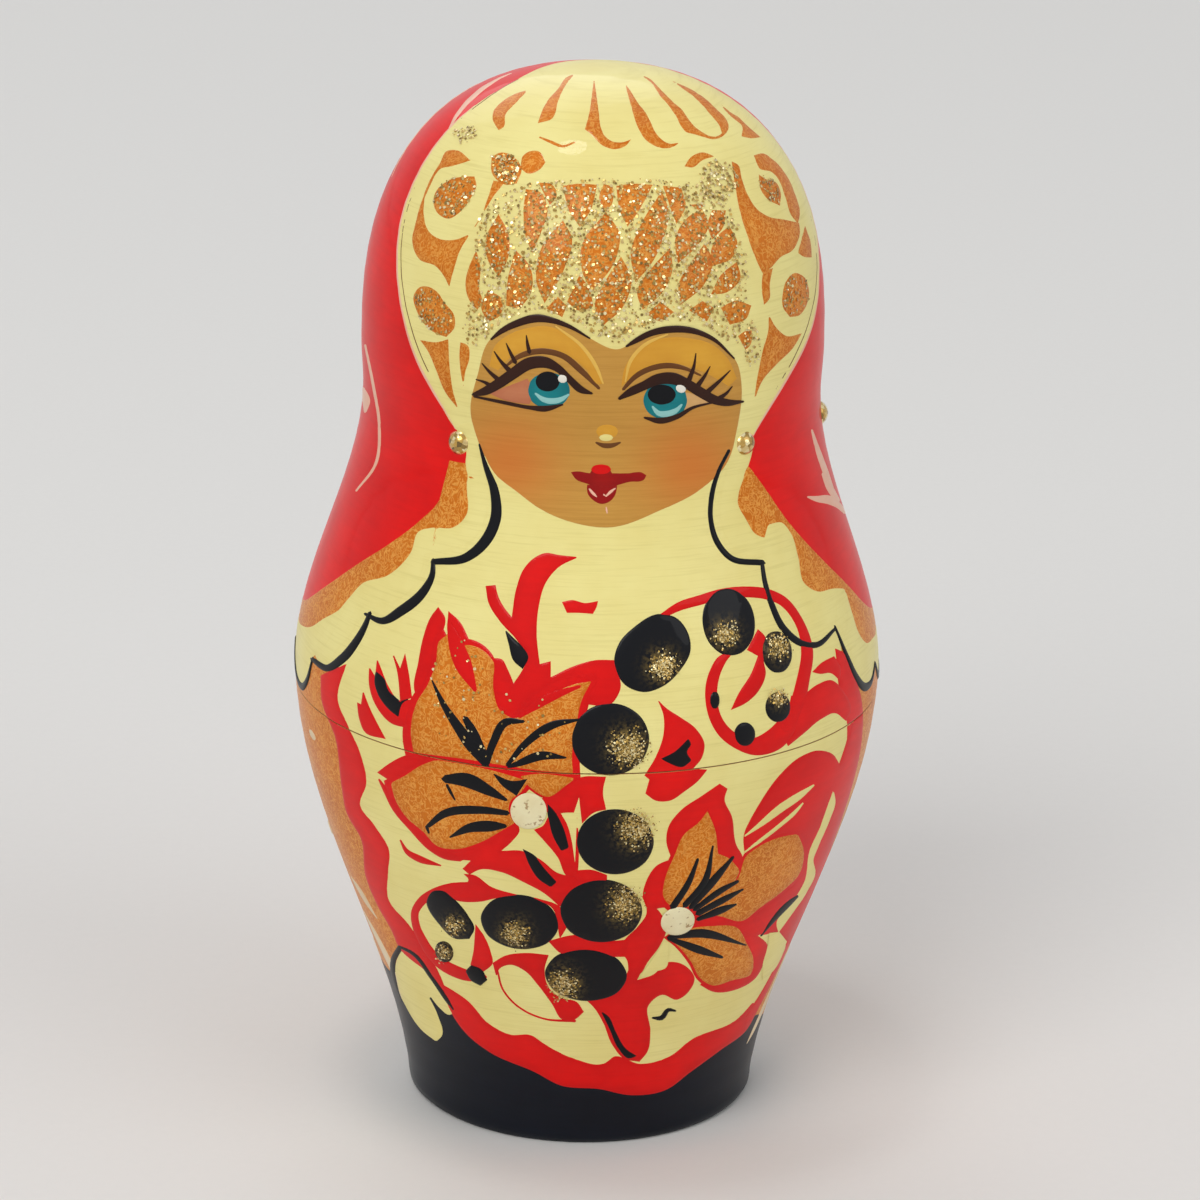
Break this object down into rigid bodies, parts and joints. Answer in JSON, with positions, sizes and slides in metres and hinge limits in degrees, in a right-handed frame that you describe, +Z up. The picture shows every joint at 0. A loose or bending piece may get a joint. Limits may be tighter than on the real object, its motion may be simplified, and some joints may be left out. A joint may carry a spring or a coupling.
{
  "type": "matryoshka nesting doll",
  "caption": "Painted wooden nesting doll that parts at a lipped seam under the belly and holds smaller dolls of the same shape, the last one solid.",
  "frame": {"origin": "middle of the flat foot of the outer doll, on the surface it stands on", "axes": "+Z up along the turning axis, the painted face looks along -Y, +X to the right of someone facing the doll"},
  "size_m": [0.0608, 0.0608, 0.11],
  "materials": {
    "red_painted_wood": "gloss varnish over paint",
    "orange_painted_wood": "gloss varnish over paint",
    "gold_glitter": "gold glitter in clear gloss"
  },
  "bodies": {
    "outer_bottom": {"outer_doll_bottom": "orange_painted_wood"},
    "second_bottom": {"second_doll_bottom": "orange_painted_wood"},
    "third_bottom": {"third_doll_bottom": "red_painted_wood"},
    "fourth_bottom": {"fourth_doll_bottom": "red_painted_wood"},
    "smallest": {"smallest_doll": "red_painted_wood"},
    "fourth_top": {"fourth_doll_top": "red_painted_wood"},
    "third_top": {"third_doll_top": "red_painted_wood"},
    "second_top": {"second_doll_top": "red_painted_wood"},
    "outer_top": {"outer_doll_top": "red_painted_wood", "glitter_beads": "gold_glitter"}
  },
  "joints": [
    {"name": "second_doll_lift", "type": "slide", "parent": "outer_bottom", "child": "second_bottom", "axis": [0, 0, 1], "range_m": [0, 0.052]},
    {"name": "third_doll_lift", "type": "slide", "parent": "second_bottom", "child": "third_bottom", "axis": [0, 0, 1], "range_m": [0, 0.043]},
    {"name": "fourth_doll_lift", "type": "slide", "parent": "third_bottom", "child": "fourth_bottom", "axis": [0, 0, 1], "range_m": [0, 0.035]},
    {"name": "smallest_doll_lift", "type": "slide", "parent": "fourth_bottom", "child": "smallest", "axis": [0, 0, 1], "range_m": [0, 0.028]},
    {"name": "fourth_top_lift", "type": "slide", "parent": "smallest", "child": "fourth_top", "axis": [0, 0, 1], "range_m": [0, 0.021]},
    {"name": "third_top_lift", "type": "slide", "parent": "fourth_top", "child": "third_top", "axis": [0, 0, 1], "range_m": [0, 0.03]},
    {"name": "second_top_lift", "type": "slide", "parent": "third_top", "child": "second_top", "axis": [0, 0, 1], "range_m": [0, 0.04]},
    {"name": "outer_top_lift", "type": "slide", "parent": "second_top", "child": "outer_top", "axis": [0, 0, 1], "range_m": [0, 0.05]}
  ]
}
